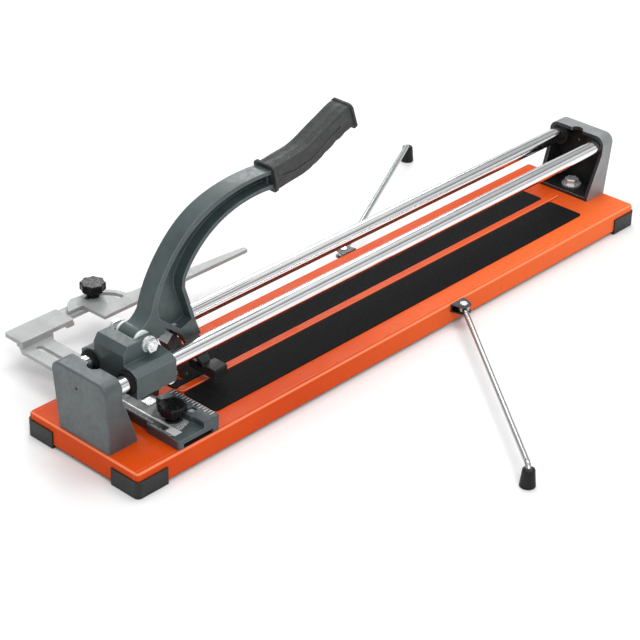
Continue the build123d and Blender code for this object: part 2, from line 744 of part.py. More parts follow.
def make_leg_bracket(name, side):
    """Folded U bracket on the skirt, with two ears that hold the leg pin."""
    gap_low = LEG_Z - 4.3
    gap_high = LEG_Z + 4.3
    with BuildPart() as bracket:
        with BuildSketch(Plane.XY.offset(gap_low - 1.8)) as ear:
            with BuildLine():
                Polyline(
                    (LEG_X - 14, side * BASE_W / 2),
                    (LEG_X + 14, side * BASE_W / 2),
                    (LEG_X + 9, side * (LEG_Y + 9)),
                    (LEG_X - 9, side * (LEG_Y + 9)),
                    close=True,
                )
            make_face()
            fillet(ear.vertices().filter_by(lambda v: abs(v.Y) > LEG_Y), 7)
        extrude(amount=gap_high - gap_low + 3.6)
        with BuildSketch(Plane.XY.offset(gap_low)):
            with Locations((LEG_X, side * (BASE_W / 2 + 1.8 + 15))):
                Rectangle(40, 30)
        extrude(amount=gap_high - gap_low, mode=Mode.SUBTRACT)
        with Locations((LEG_X, side * LEG_Y, gap_high + 1.8)):
            Hole(3.0, depth=20)
    save(bracket, f"leg_bracket_{name}")


def make_legs():
    """Both folding legs, their brackets and their headed pins."""
    make_leg("right", (LEG_X, -LEG_Y), RIGHT_ANGLE)
    make_leg("left", (LEG_X, LEG_Y), LEFT_ANGLE)
    make_leg_bracket("right", -1)
    make_leg_bracket("left", 1)
    spots = [(LEG_X, -LEG_Y), (LEG_X, LEG_Y)]
    low = LEG_Z - 4.3 - 1.8
    high = LEG_Z + 4.3 + 1.8
    with BuildPart() as pins:
        with BuildSketch(Plane.XY.offset(low - 1.5)):
            with Locations(*spots):
                Circle(4.5)
        extrude(amount=1.5)
        with BuildSketch(Plane.XY.offset(low)):
            with Locations(*spots):
                Circle(3.0)
        extrude(amount=high - low)
        with BuildSketch(Plane.XY.offset(high)):
            with Locations(*spots):
                Circle(5.5)
        extrude(amount=1.6)
        fillet(pins.faces().filter_by(Axis.Z).group_by(Axis.Z)[-1].edges(), 1)
    save(pins, "leg_pins")


# ---------------------------------------------------------------- carriage
def make_carriage():
    """Carriage casting: rail housing, hooded pivot block and two ears for the lever pin."""
    with BuildPart() as carriage:
        with BuildSketch(Plane.YZ.offset(CAR_X0)):
            with BuildLine():
                Polyline(
                    (-50, CAR_Z0),
                    (50, CAR_Z0),
                    (50, 126),
                    (39.6, 132),
                    (24, 133.8),
                    (-24, 133.8),
                    (-39.6, 132),
                    (-50, 126),
                    close=True,
                )
            make_face()
        extrude(amount=CAR_X1 - CAR_X0)
        with BuildSketch(Plane.XZ) as hood:
            with BuildLine():
                Polyline(
                    (CAR_X0, 130),
                    (CAR_X0, 146),
                    (-452, HOUSING_TOP),
                    (-434, HOUSING_TOP),
                    (-434, 130),
                    close=True,
                )
            make_face()
        extrude(amount=EAR_OUT, both=True)
        with BuildSketch(Plane.XZ) as ear:
            with Locations((EAR_X1, 130)):
                Rectangle(440 + EAR_X1, HOUSING_TOP - 130, align=(Align.MAX, Align.MIN))
            fillet(ear.vertices().group_by(Axis.X)[-1].sort_by(Axis.Y)[-1], EAR_CORNER)
        extrude(amount=EAR_OUT, both=True)
        fillet(carriage.edges().filter_by(Axis.X).group_by(Axis.Z)[-1], 2)
        with BuildSketch(Plane.XZ):
            with BuildLine():
                Polyline((-434, 130), (-400, 130), (-394, 133), (-394, 170), (-434, 170), close=True)
            make_face()
        extrude(amount=EAR_IN, both=True, mode=Mode.SUBTRACT)
        with BuildSketch(Plane.YZ.offset(CAR_X0)):
            with Locations((-RAIL_Y, RAIL_Z), (RAIL_Y, RAIL_Z)):
                Circle(BUSH_R)
        extrude(amount=CAR_X1 - CAR_X0, mode=Mode.SUBTRACT)
        with BuildSketch(Plane.XY.offset(CAR_Z0)):
            with Locations((-427, 0)):
                RectangleRounded(46, 26, 3)
        extrude(amount=22, mode=Mode.SUBTRACT)
        with BuildSketch(Plane.XY.offset(CAR_Z0)):
            with Locations((ROLLER_X, -ROLLER_Y - 1), (ROLLER_X, ROLLER_Y + 1)):
                Rectangle(20, 10)
        extrude(amount=9, mode=Mode.SUBTRACT)
        with BuildSketch(Plane.XY.offset(ROLLER_Z - 5)):
            with Locations((CAR_X1, -ROLLER_Y + 6.2), (CAR_X1, ROLLER_Y - 6.2)):
                Rectangle(8, 4.4, align=(Align.MAX, Align.CENTER))
        extrude(amount=CAR_Z0 - ROLLER_Z + 5.5)
        with BuildSketch(Plane.XZ):
            with Locations((ROLLER_X, ROLLER_Z)):
                Circle(2.5)
        extrude(amount=ROLLER_Y - 4, both=True, mode=Mode.SUBTRACT)
        with BuildSketch(Plane.XZ):
            with Locations((PIVOT_X, PIVOT_Z)):
                Circle(PIVOT_R + 0.05)
        extrude(amount=EAR_OUT, both=True, mode=Mode.SUBTRACT)
    save(carriage, "carriage")


def make_carriage_bearings():
    """Four plain rail bushes and two black end seals on the near face."""
    for side_name, side in (("right", -1), ("left", 1)):
        for end_name, start, length in (("front", -457, 24), ("rear", -426, 18)):
            with BuildPart() as bush:
                with BuildSketch(Plane.YZ.offset(start)):
                    with Locations((side * RAIL_Y, RAIL_Z)):
                        Circle(BUSH_R)
                        Circle(RAIL_R + BUSH_GAP, mode=Mode.SUBTRACT)
                extrude(amount=length)
            save(bush, f"rail_bush_{side_name}_{end_name}")
        with BuildPart() as seal:
            with BuildSketch(Plane.YZ.offset(CAR_X0)):
                with Locations((side * RAIL_Y, RAIL_Z)):
                    Circle(15.5)
                    Circle(RAIL_R + 0.1, mode=Mode.SUBTRACT)
            extrude(amount=-5)
            chamfer(seal.faces().sort_by(Axis.X)[0].outer_wire().edges(), 2)
        save(seal, f"rail_seal_{side_name}")


def make_pivot():
    """Lever pivot: a hexagon bolt through both ears, a flange nut and two nylon washers."""
    across = Plane(origin=(PIVOT_X, 0, PIVOT_Z), x_dir=(1, 0, 0), z_dir=(0, 1, 0))
    with BuildPart() as bolt:
        with BuildSketch(across.offset(-39)):
            Circle(PIVOT_R)
        extrude(amount=39 + EAR_OUT)
        with BuildSketch(across.offset(EAR_OUT)):
            RegularPolygon(8.5, 6, major_radius=False)
        extrude(amount=6.5)
        chamfer(bolt.faces().sort_by(Axis.Y)[-1].edges(), 0.8)
        chamfer(bolt.faces().sort_by(Axis.Y)[0].edges(), 0.8)
    save(bolt, "pivot_bolt")
    with BuildPart() as nut:
        with BuildSketch(across.offset(-EAR_OUT - 2.5)):
            Circle(10.5)
        extrude(amount=2.5)
        with BuildSketch(across.offset(-EAR_OUT - 10)):
            RegularPolygon(8.25, 6, major_radius=False)
        extrude(amount=7.5)
        chamfer(nut.faces().sort_by(Axis.Y)[0].edges(), 0.8)
        with BuildSketch(across.offset(-EAR_OUT - 10)):
            Circle(PIVOT_R + 0.03)
        extrude(amount=10, mode=Mode.SUBTRACT)
    save(nut, "pivot_nut")
    with BuildPart() as washers:
        for start in (-EAR_IN + 0.1, HUB_HALF + 0.1):
            with BuildSketch(across.offset(start)):
                Circle(12.5)
                Circle(PIVOT_R + 0.05, mode=Mode.SUBTRACT)
            extrude(amount=EAR_IN - HUB_HALF - 0.2)
    save(washers, "thrust_washers")


def make_rollers():
    """Steel rollers that run under the rails, each on a shouldered screw in the carriage."""
    for name, side in (("right", -1), ("left", 1)):
        with BuildPart() as roller:
            with BuildSketch(Plane.XZ.offset(-side * ROLLER_Y - 3.5)):
                with Locations((ROLLER_X, ROLLER_Z)):
                    Circle(ROLLER_R)
                    Circle(2.52, mode=Mode.SUBTRACT)
            extrude(amount=7)
            chamfer(roller.edges().filter_by(GeomType.CIRCLE), 0.5)
        save(roller, f"roller_{name}")
    with BuildPart() as screws:
        for side in (-1, 1):
            shank = Plane(origin=(ROLLER_X, side * (ROLLER_Y - 8.4), ROLLER_Z), z_dir=(0, side, 0))
            with BuildSketch(shank):
                Circle(2.45)
            extrude(amount=12.1)
            with BuildSketch(shank.offset(12.1)):
                Circle(4)
            extrude(amount=1.8)
    save(screws, "roller_screws")


# ---------------------------------------------------------------- lever
def holder_outline():
    """Side outline of the wheel holder block."""
    with BuildSketch(Plane.XZ) as outline:
        with Locations(AXLE):
            Circle(8)
        with BuildLine():
            Polyline((-371, 119), (-361, 129.5), (-349, 118.5), close=True)
        make_face()
        make_hull()
    return outline.sketch


def make_lever():
    """Cast lever: pivot hub, open-sided arm with a thin web, grip tang and breaker leg."""
    with BuildPart() as lever:
        with BuildSketch(Plane.XZ) as body:
            with BuildLine():
                Spline(*OUTER_EDGE)
                Polyline(OUTER_EDGE[-1], INNER_EDGE[0])
                Spline(*INNER_EDGE)
                Polyline(INNER_EDGE[-1], (-344, 191), (-337, 170), (-327, 138), (-318, 115), (-345, 117),
                         (-351, 126), OUTER_EDGE[0])
            make_face()
        extrude(amount=LEVER_HALF, both=True)
        with BuildSketch(Plane.XZ):
            with BuildLine():
                Spline((-418, 161.8), (-408, 167), (-399.5, 178), (-395, 193))
                Polyline((-395, 193), (-385, 178), (-350, 128), (-376, 147), (-380, 140), (-412, 136.5),
                         (-418, 161.8))
            make_face()
            with Locations((PIVOT_X, PIVOT_Z)):
                Circle(HUB_R)
        extrude(amount=LEVER_HALF, both=True)
        with BuildSketch(Plane.XZ):
            with Locations((PIVOT_X, PIVOT_Z)):
                Circle(HUB_R)
        extrude(amount=HUB_HALF, both=True)
        with BuildSketch(Plane.XZ.offset(WEB_HALF)) as pocket:
            with BuildLine():
                Polyline((-333, 141), (-342, 168), (-349, 190), (-348, 204))
                Spline((-348, 204), (-335, 225), (-293, 259.5), (-239, 276), (-190, 277))
                Polyline((-190, 277), (-190, 292))
                Spline((-190, 292), (-274, 287), (-340, 256), (-378, 210), (-390, 178))
                Polyline((-390, 178), (-387, 163), (-352, 134.5), (-333, 141))
            make_face()
        extrude(amount=LEVER_HALF, mode=Mode.SUBTRACT)
        extrude(mirror(pocket.sketch, about=Plane.XZ, mode=Mode.PRIVATE), amount=-LEVER_HALF,
                mode=Mode.SUBTRACT)
        with BuildSketch(Plane.XZ) as toe:
            with BuildLine():
                Polyline((-345, 119), (-318, 119), (-293.1, 59.5), (-302.9, 54.5), close=True)
            make_face()
            with Locations(FOOT_PIN):
                Circle(TOE_R)
        extrude(amount=TOE_HALF, both=True)
        with BuildSketch(Plane.XZ):
            with BuildLine():
                Polyline(*TANG, close=True)
            make_face()
        extrude(amount=5, both=True)
        extrude(holder_outline(), amount=HOLDER_HALF, both=True, mode=Mode.SUBTRACT)
        with BuildSketch(Plane.XZ):
            with Locations(TENON):
                Rectangle(8, 18)
        extrude(amount=TENON_HALF, both=True, mode=Mode.SUBTRACT)
        with BuildSketch(Plane.XZ):
            with Locations((PIVOT_X, PIVOT_Z)):
                Circle(PIVOT_R + 0.1)
            with Locations(FOOT_PIN):
                Circle(FOOT_PIN_R + 0.02)
        extrude(amount=HUB_HALF, both=True, mode=Mode.SUBTRACT)
    save(lever, "lever")


def make_grip():
    """Moulded rubber grip: flanged ends, finger scallops below and a groove along each side."""
    with BuildPart() as grip:
        for x, z, slope, height, width in GRIP:
            along = (cos(radians(slope)), 0, sin(radians(slope)))
            with BuildSketch(Plane(origin=(x, 0, z), x_dir=(0, 1, 0), z_dir=along)):
                RectangleRounded(width, height, GRIP_CORNER)
        loft()
        with BuildSketch(Plane.XZ):
            with Locations(*SCALLOPS):
                Circle(11)
        extrude(amount=20, both=True, mode=Mode.SUBTRACT)
        for x, z, slope in GRIP_FLANGES:
            along = (cos(radians(slope)), 0, sin(radians(slope)))
            with BuildSketch(Plane(origin=(x, 0, z), x_dir=(0, 1, 0), z_dir=along)):
                RectangleRounded(36, 39.5, 6.5)
            extrude(amount=1.8, both=True)
        for side in (14.5, -17.5):
            with BuildSketch(Plane.XZ.offset(side)):
                with BuildLine():
                    Polyline(*GROOVE)
                    Polyline(*[(x, z - 1.4) for x, z in GROOVE])
                    Polyline(GROOVE[0], (GROOVE[0][0], GROOVE[0][1] - 1.4))
                    Polyline(GROOVE[-1], (GROOVE[-1][0], GROOVE[-1][1] - 1.4))
                make_face()
            extrude(amount=3, mode=Mode.SUBTRACT)
        with BuildSketch(Plane.XZ):
            with BuildLine():
                Polyline(*TANG, close=True)
            make_face()
        extrude(amount=5, both=True, mode=Mode.SUBTRACT)
    save(grip, "grip")


def make_wheel_holder():
    """Forked steel holder that carries the scoring wheel, with its screw and axle."""
    with BuildPart() as holder:
        extrude(holder_outline(), amount=HOLDER_HALF, both=True)
        with BuildSketch(Plane.XZ):
            with Locations(TENON):
                Rectangle(8, 18)
        extrude(amount=TENON_HALF, both=True)
        with BuildSketch(Plane.XZ):
            with Locations(AXLE):
                Circle(WHEEL_R + 3)
        extrude(amount=3, both=True, mode=Mode.SUBTRACT)
        with BuildSketch(Plane.XZ):
            with Locations(AXLE):
                Circle(2)
        extrude(amount=HOLDER_HALF, both=True, mode=Mode.SUBTRACT)
        with BuildSketch(Plane.XZ.offset(3)):
            with Locations(HOLDER_SCREW):
                Circle(2.5)
        extrude(amount=-3 - HOLDER_HALF, mode=Mode.SUBTRACT)
    save(holder, "wheel_holder")
    with BuildPart() as screw:
        with BuildSketch(Plane.XZ.offset(-HOLDER_HALF)):
            with Locations(HOLDER_SCREW):
                Circle(2.5)
        extrude(amount=HOLDER_HALF + 3)
        with BuildSketch(Plane.XZ.offset(-HOLDER_HALF)):
            with Locations(HOLDER_SCREW):
                Circle(4.5)
        extrude(amount=-2.5)
    save(screw, "holder_screw")
    with BuildPart() as axle:
        with BuildSketch(Plane.XZ):
            with Locations(AXLE):
                Circle(1.95)
        extrude(amount=HOLDER_HALF, both=True)
    save(axle, "wheel_axle")
    with BuildPart() as wheel:
        with BuildSketch(Plane.XZ):
            with Locations(AXLE):
                Circle(WHEEL_R)
        extrude(amount=2.4, both=True)
        chamfer(wheel.edges().filter_by(GeomType.CIRCLE), 2.2)
        with BuildSketch(Plane.XZ):
            with Locations(AXLE):
                Circle(2.0)
        extrude(amount=2.4, both=True, mode=Mode.SUBTRACT)
    save(wheel, "scoring_wheel")


def make_breaker_foot():
    """Breaker foot: a thick pressing bar with a slot for the lever toe, on a pin along its length."""
    x, z = FOOT_PIN
    with BuildPart() as foot:
        with BuildSketch(Plane.XY.offset(FOOT_Z0)):
            with Locations((x, 0)):
                RectangleRounded(24, 58, 3)
        extrude(amount=FOOT_Z1 - FOOT_Z0)
        fillet(foot.faces().sort_by(Axis.Z)[-1].edges(), 1.5)
        with BuildSketch(Plane.XZ):
            with Locations((x, z)):
                Circle(TOE_R + 0.3)
            with Locations((x, z + 7.5)):
                Rectangle(30, 20)
        extrude(amount=TOE_HALF + 0.3, both=True, mode=Mode.SUBTRACT)
        with BuildSketch(Plane.XZ.offset(15)):
            with Locations((x, z)):
                Circle(FOOT_PIN_R + 0.06)
        extrude(amount=-44, mode=Mode.SUBTRACT)
    save(foot, "breaker_foot")
    with BuildPart() as pin:
        with BuildSketch(Plane.XZ.offset(14.8)):
            with Locations((x, z)):
                Circle(FOOT_PIN_R)
        extrude(amount=-43)
        chamfer(pin.edges().filter_by(GeomType.CIRCLE), 0.5)
    save(pin, "foot_pin")


make_base_pan()
make_pads()
make_guards()
make_spine()
near = make_bracket()
near_liner = make_liner()
make_far_end(near, near_liner)
make_rails()
make_bracket_fasteners()
make_fence_bar()
make_scales()
make_fence_fasteners()
make_knobs()
make_extension()
make_swivel_fence()
make_legs()
make_carriage()
make_carriage_bearings()
make_pivot()
make_rollers()
make_lever()
make_grip()
make_wheel_holder()
make_breaker_foot()
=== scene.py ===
from math import cos, radians, sin, tan

import bmesh
import bpy
from mathutils import Matrix, Vector


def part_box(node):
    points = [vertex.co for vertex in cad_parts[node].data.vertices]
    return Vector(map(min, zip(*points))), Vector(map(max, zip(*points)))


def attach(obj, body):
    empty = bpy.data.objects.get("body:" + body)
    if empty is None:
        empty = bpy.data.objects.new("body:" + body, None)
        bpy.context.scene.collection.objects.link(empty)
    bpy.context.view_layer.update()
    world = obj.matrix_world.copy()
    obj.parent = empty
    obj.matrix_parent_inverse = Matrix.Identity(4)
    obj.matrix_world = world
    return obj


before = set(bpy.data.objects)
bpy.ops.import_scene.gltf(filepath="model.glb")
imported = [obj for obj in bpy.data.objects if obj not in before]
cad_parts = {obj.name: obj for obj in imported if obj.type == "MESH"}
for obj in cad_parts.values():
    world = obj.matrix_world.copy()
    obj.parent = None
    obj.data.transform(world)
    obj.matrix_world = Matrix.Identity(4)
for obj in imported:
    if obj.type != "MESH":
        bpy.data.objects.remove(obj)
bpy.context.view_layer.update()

# Camera: position in metres and its direction, in degrees.
CAMERA_AT = Vector((-1.7644, -1.5226, 1.3561))
CAMERA_AZIMUTH = -47.84
CAMERA_ELEVATION = 30.28
CAMERA_ROLL = 1.57
CAMERA_FOV = 18.709

# Surroundings: brightness at heights from straight down, 0, to straight up, 1.
SKY = (
    (0.0, 0.5),
    (0.46, 0.95),
    (0.495, 0.2),
    (0.53, 0.10),
    (0.57, 0.32),
    (0.67, 0.50),
    (0.75, 1.0),
    (1.0, 0.9),
)


# ---------------------------------------------------------------- node helpers
class Shader:
    """A Principled material with short calls to add nodes and links."""

    def __init__(self, name, color, roughness, metallic=0.0, **sockets):
        self.material = bpy.data.materials.new(name)
        self.material.use_nodes = True
        self.nodes = self.material.node_tree.nodes
        self.links = self.material.node_tree.links
        self.bsdf = self.nodes["Principled BSDF"]
        self.bsdf.inputs["Base Color"].default_value = (*color, 1)
        self.bsdf.inputs["Roughness"].default_value = roughness
        self.bsdf.inputs["Metallic"].default_value = metallic
        for key, value in sockets.items():
            self.bsdf.inputs[key.replace("_", " ")].default_value = value
        self.coord = self.nodes.new("ShaderNodeTexCoord").outputs["Object"]
        self.normal = None

    def add(self, kind, **settings):
        node = self.nodes.new(kind)
        for key, value in settings.items():
            setattr(node, key, value)
        return node

    def set(self, socket, value):
        if hasattr(value, "is_output"):
            self.links.new(value, socket)
        else:
            socket.default_value = value

    def noise(self, scale, detail=3.0, roughness=0.55, stretch=(1, 1, 1)):
        mapping = self.add("ShaderNodeMapping")
        mapping.inputs["Scale"].default_value = stretch
        self.links.new(self.coord, mapping.inputs["Vector"])
        node = self.add("ShaderNodeTexNoise")
        node.inputs["Scale"].default_value = scale
        node.inputs["Detail"].default_value = detail
        node.inputs["Roughness"].default_value = roughness
        self.links.new(mapping.outputs["Vector"], node.inputs["Vector"])
        return node.outputs["Fac"]

    def ramp(self, factor, low, high, start=0.0, end=1.0):
        node = self.add("ShaderNodeMapRange")
        node.interpolation_type = "SMOOTHSTEP"
        self.set(node.inputs["Value"], factor)
        node.inputs["From Min"].default_value = low
        node.inputs["From Max"].default_value = high
        node.inputs["To Min"].default_value = start
        node.inputs["To Max"].default_value = end
        return node.outputs["Result"]

    def between(self, value, start, full, fade, end):
        """1 from full to fade, falling to 0 at start and at end."""
        return self.math("MULTIPLY", self.ramp(value, start, full), self.ramp(value, fade, end, 1.0, 0.0))

    def mottle(self, scale, detail=3, low=0.3, high=0.7, start=0.0, end=1.0):
        """Noise spread over a range, by default from 0 to 1."""
        return self.ramp(self.noise(scale, detail), low, high, start, end)

    def math(self, operation, a, b=0.0):
        node = self.add("ShaderNodeMath", operation=operation)
        self.set(node.inputs[0], a)
        self.set(node.inputs[1], b)
        return node.outputs[0]

    def mix(self, factor, a, b):
        node = self.add("ShaderNodeMix", data_type="RGBA")
        self.set(node.inputs["Factor"], factor)
        self.set(node.inputs["A"], (*a, 1) if isinstance(a, tuple) else a)
        self.set(node.inputs["B"], (*b, 1) if isinstance(b, tuple) else b)
        return node.outputs["Result"]

    def position(self):
        node = self.add("ShaderNodeSeparateXYZ")
        self.links.new(self.coord, node.inputs[0])
        return node.outputs["X"], node.outputs["Y"], node.outputs["Z"]

    def facing(self):
        node = self.add("ShaderNodeSeparateXYZ")
        self.links.new(self.add("ShaderNodeNewGeometry").outputs["True Normal"], node.inputs[0])
        return node.outputs["X"], node.outputs["Y"], node.outputs["Z"]

    def color(self, value):
        self.set(self.bsdf.inputs["Base Color"], value)

    def rough(self, value):
        self.set(self.bsdf.inputs["Roughness"], value)

    def bump(self, height, distance, strength=1.0):
        node = self.add("ShaderNodeBump")
        node.inputs["Strength"].default_value = strength
        node.inputs["Distance"].default_value = distance
        self.links.new(height, node.inputs["Height"])
        if self.normal is not None:
            self.links.new(self.normal, node.inputs["Normal"])
        self.normal = node.outputs["Normal"]
        self.links.new(self.normal, self.bsdf.inputs["Normal"])

    def soft_edges(self, radius):
        node = self.add("ShaderNodeBevel", samples=8)
        node.inputs["Radius"].default_value = radius
        self.normal = node.outputs["Normal"]
        self.links.new(self.normal, self.bsdf.inputs["Normal"])

    def edge_mask(self, radius, low, high):
        """1 on sharp edges and 0 on flat faces, from how far a rounded normal turns."""
        wide = self.add("ShaderNodeBevel", samples=4)
        wide.inputs["Radius"].default_value = radius
        turn = self.add("ShaderNodeVectorMath", operation="DOT_PRODUCT")
        self.links.new(wide.outputs["Normal"], turn.inputs[0])
        self.links.new(self.add("ShaderNodeNewGeometry").outputs["Normal"], turn.inputs[1])
        return self.ramp(self.math("SUBTRACT", 1.0, turn.outputs["Value"]), low, high)


# ---------------------------------------------------------------- materials
def orange_paint():
    """Orange powder coat with a rolled bead along both sides; painted sheen makes it paler at the far
    right, and painted highlight lines run along the rounded top fold and beside the bead.
    """
    s = Shader("orange_paint", (0.62, 0.055, 0.006), 0.38, Coat_Weight=0.02, Coat_Roughness=0.1,
               Specular_IOR_Level=0.05)
    tone = s.mottle(6, 2)
    base = s.mix(tone, (0.58, 0.056, 0.005), (0.64, 0.070, 0.008))
    x, y = s.position()[:2]
    # Painted sheen: the colour turns paler towards the far right.
    far = s.math("MULTIPLY", s.ramp(x, -0.35, 0.5), s.ramp(y, -0.09, 0.02, 1.0, 0.2))
    base = s.mix(far, base, (0.88, 0.150, 0.034))
    # Painted highlight: a lighter tint on the rounded top fold, and a thin painted highlight line beside
    # the bead.
    up = s.facing()[2]
    fold_highlight = s.between(up, 0.35, 0.6, 0.9, 0.98)
    across = s.math("ABSOLUTE", y)
    crease_highlight = s.between(across, 0.0922, 0.0927, 0.0931, 0.0936)
    painted_highlight = s.math("MAXIMUM", s.math("MULTIPLY", fold_highlight, 0.55), s.math("MULTIPLY", crease_highlight, 0.4))
    s.color(s.mix(painted_highlight, base, (1.0, 0.36, 0.20)))
    s.rough(s.mottle(40, 4, 0.3, 0.75, 0.26, 0.40))
    s.bump(s.noise(700, 2), 0.00006, 0.5)
    s.bump(s.between(across, 0.0925, 0.0940, 0.0955, 0.0970), 0.0008, 0.8)
    return s.material


def cast_paint(name, color, speck=0.25, rim=None):
    """Grey painted casting with a painted highlight along its edges; rim is the axis and side whose faces
    are painted near-black as shade.
    """
    s = Shader(name, color, 0.42, Coat_Weight=0.12, Coat_Roughness=0.3, Specular_IOR_Level=0.55)
    s.soft_edges(0.0009)
    dark = tuple(c * 0.84 for c in color)
    light = tuple(min(1, c * 1.16) for c in color)
    base = s.mix(s.mottle(35, 4), dark, light)
    # Painted highlight along sharp edges, broken up by noise.
    highlight_breakup = s.mottle(120, 3, 0.25, 0.6, 0.5, 1.0)
    edge = s.math("MULTIPLY", s.edge_mask(0.0020, 0.02, 0.3), highlight_breakup)
    bright = tuple(min(1, c * 3.0 + 0.07) for c in color)
    base = s.mix(s.math("MULTIPLY", edge, 0.85), base, bright)
    # Painted shade: faces turned to the rim side are painted near-black.
    if rim:
        axis, sign = rim
        turned = s.facing()[axis]
        shade_mask = s.ramp(s.math("MULTIPLY", turned, sign), 0.15, 0.4)
        base = s.mix(shade_mask, base, (0.012, 0.013, 0.014))
    s.color(base)
    s.rough(s.mottle(160, 3, start=0.34, end=0.52))
    s.bump(s.noise(1100, 3), 0.00012, speck)
    s.bump(s.noise(130, 2), 0.0004, 0.12)
    return s.material


def moulded(name, color, roughness, grain, gloss=0.5, round_edges=True):
    """Moulded plastic or rubber with a fine grain."""
    s = Shader(name, color, roughness, Specular_IOR_Level=gloss)
    if round_edges:
        s.soft_edges(0.0008)
    light = tuple(c * 1.35 + 0.004 for c in color)
    s.color(s.mix(s.mottle(60, 3, 0.35, 0.7), color, light))
    s.rough(s.mottle(220, 3, start=roughness - 0.07, end=roughness + 0.08))
    s.bump(s.noise(1600, 3), 0.00012, grain)
    return s.material


def pad_rubber():
    s = Shader("pad_rubber", (0.005, 0.005, 0.006), 0.75, Specular_IOR_Level=0.12)
    s.color(s.mix(s.mottle(220, 3, 0.35, 0.7), (0.004, 0.004, 0.005), (0.007, 0.007, 0.008)))
    s.rough(s.mottle(300, 3, start=0.7, end=0.8))
    s.bump(s.noise(900, 3), 0.0002, 0.5)
    return s.material


def chrome(name, roughness, tint, along=(0.02, 1, 1)):
    """Polished chrome with fine drawn streaks."""
    s = Shader(name, tint, roughness, 1.0)
    s.rough(s.ramp(s.noise(900, 3, stretch=along), 0.3, 0.7, roughness * 0.7, roughness * 1.5))
    s.color(s.mix(s.mottle(25, 3), tint, tuple(c * 0.94 for c in tint)))
    return s.material


def plated(name, color, roughness, brushed=(1, 1, 1), metallic=1.0):
    """Bare or plated metal of a small part."""
    s = Shader(name, color, roughness, metallic)
    s.soft_edges(0.0004)
    s.color(s.mix(s.mottle(180, 4), color, tuple(c * 0.82 for c in color)))
    s.rough(s.mottle(500, 3, start=roughness * 0.8, end=roughness * 1.3))
    s.bump(s.noise(1200, 3, stretch=brushed), 0.00004, 0.2)
    return s.material


def holder_steel():
    """Blackened steel with a painted highlight on the faces that look up."""
    s = Shader("holder_steel", (0.02, 0.021, 0.022), 0.36, 0.3)
    s.soft_edges(0.0005)
    dark = s.mix(s.mottle(90, 3), (0.016, 0.017, 0.018), (0.030, 0.031, 0.033))
    # Painted highlight: faces that look up are tinted pale grey.
    top_highlight = s.ramp(s.facing()[2], 0.3, 0.5)
    s.color(s.mix(top_highlight, dark, (0.62, 0.63, 0.64)))
    s.rough(s.mottle(260, 3, start=0.28, end=0.44))
    s.bump(s.noise(900, 3), 0.00005, 0.2)
    return s.material


def cast_aluminium():
    s = Shader("cast_aluminium", (0.40, 0.41, 0.41), 0.46, 0.2, Specular_IOR_Level=0.4)
    s.soft_edges(0.0008)
    base = s.mix(s.mottle(30, 4), (0.32, 0.33, 0.33), (0.39, 0.40, 0.40))
    # Painted highlight along sharp edges.
    edge = s.edge_mask(0.0012, 0.03, 0.4)
    s.color(s.mix(s.math("MULTIPLY", edge, 0.5), base, (0.78, 0.79, 0.79)))
    s.rough(s.mottle(200, 3, start=0.34, end=0.55))
    s.bump(s.noise(1000, 3), 0.0001, 0.3)
    return s.material


def scale_metal():
    """Dark anodised strip with a silver end and a painted highlight along its rear edge."""
    s = Shader("scale_metal", (0.05, 0.052, 0.055), 0.36, 0.4)
    s.soft_edges(0.0004)
    x, y = s.position()[:2]
    dark = s.mix(s.mottle(120, 3), (0.030, 0.032, 0.034), (0.055, 0.058, 0.060))
    silver = s.mix(s.mottle(200, 3), (0.60, 0.61, 0.61), (0.72, 0.73, 0.73))
    end = s.ramp(y, -0.068, -0.066, 1.0, 0.0)
    # Painted highlight: a narrow silver band along the rear edge.
    rear_highlight = s.ramp(x, -0.4234, -0.4230)
    silver_end_and_highlight = s.math("MAXIMUM", end, rear_highlight)
    front = s.ramp(x, -0.4320, -0.4315, 1.0, 0.0)
    silver_end_and_highlight = s.math("MULTIPLY", silver_end_and_highlight, s.math("SUBTRACT", 1.0, front))
    s.color(s.mix(silver_end_and_highlight, dark, silver))
    s.rough(s.mottle(240, 3, start=0.32, end=0.44))
    s.bump(s.noise(800, 3, stretch=(1, 0.05, 1)), 0.00004, 0.3)
    return s.material


def printed_plate():
    """Silver foil with rows of small dark dashes in place of printed words."""
    s = Shader("printed_plate", (0.62, 0.63, 0.63), 0.35, 0.5)
    brick = s.add("ShaderNodeTexBrick")
    brick.inputs["Scale"].default_value = 1.0
    brick.inputs["Brick Width"].default_value = 0.0026
    brick.inputs["Row Height"].default_value = 0.0026
    brick.inputs["Mortar Size"].default_value = 0.0006
    brick.inputs["Mortar Smooth"].default_value = 0.2
    brick.offset = 0.37
    s.links.new(s.coord, brick.inputs["Vector"])
    some = s.mottle(300, 1, 0.40, 0.46)
    ink = s.math("MULTIPLY", s.math("SUBTRACT", 1.0, brick.outputs["Fac"]), some)
    s.color(s.mix(s.math("MULTIPLY", ink, 0.95), (0.62, 0.63, 0.63), (0.02, 0.02, 0.022)))
    s.rough(s.mottle(300, 2, start=0.28, end=0.42))
    return s.material


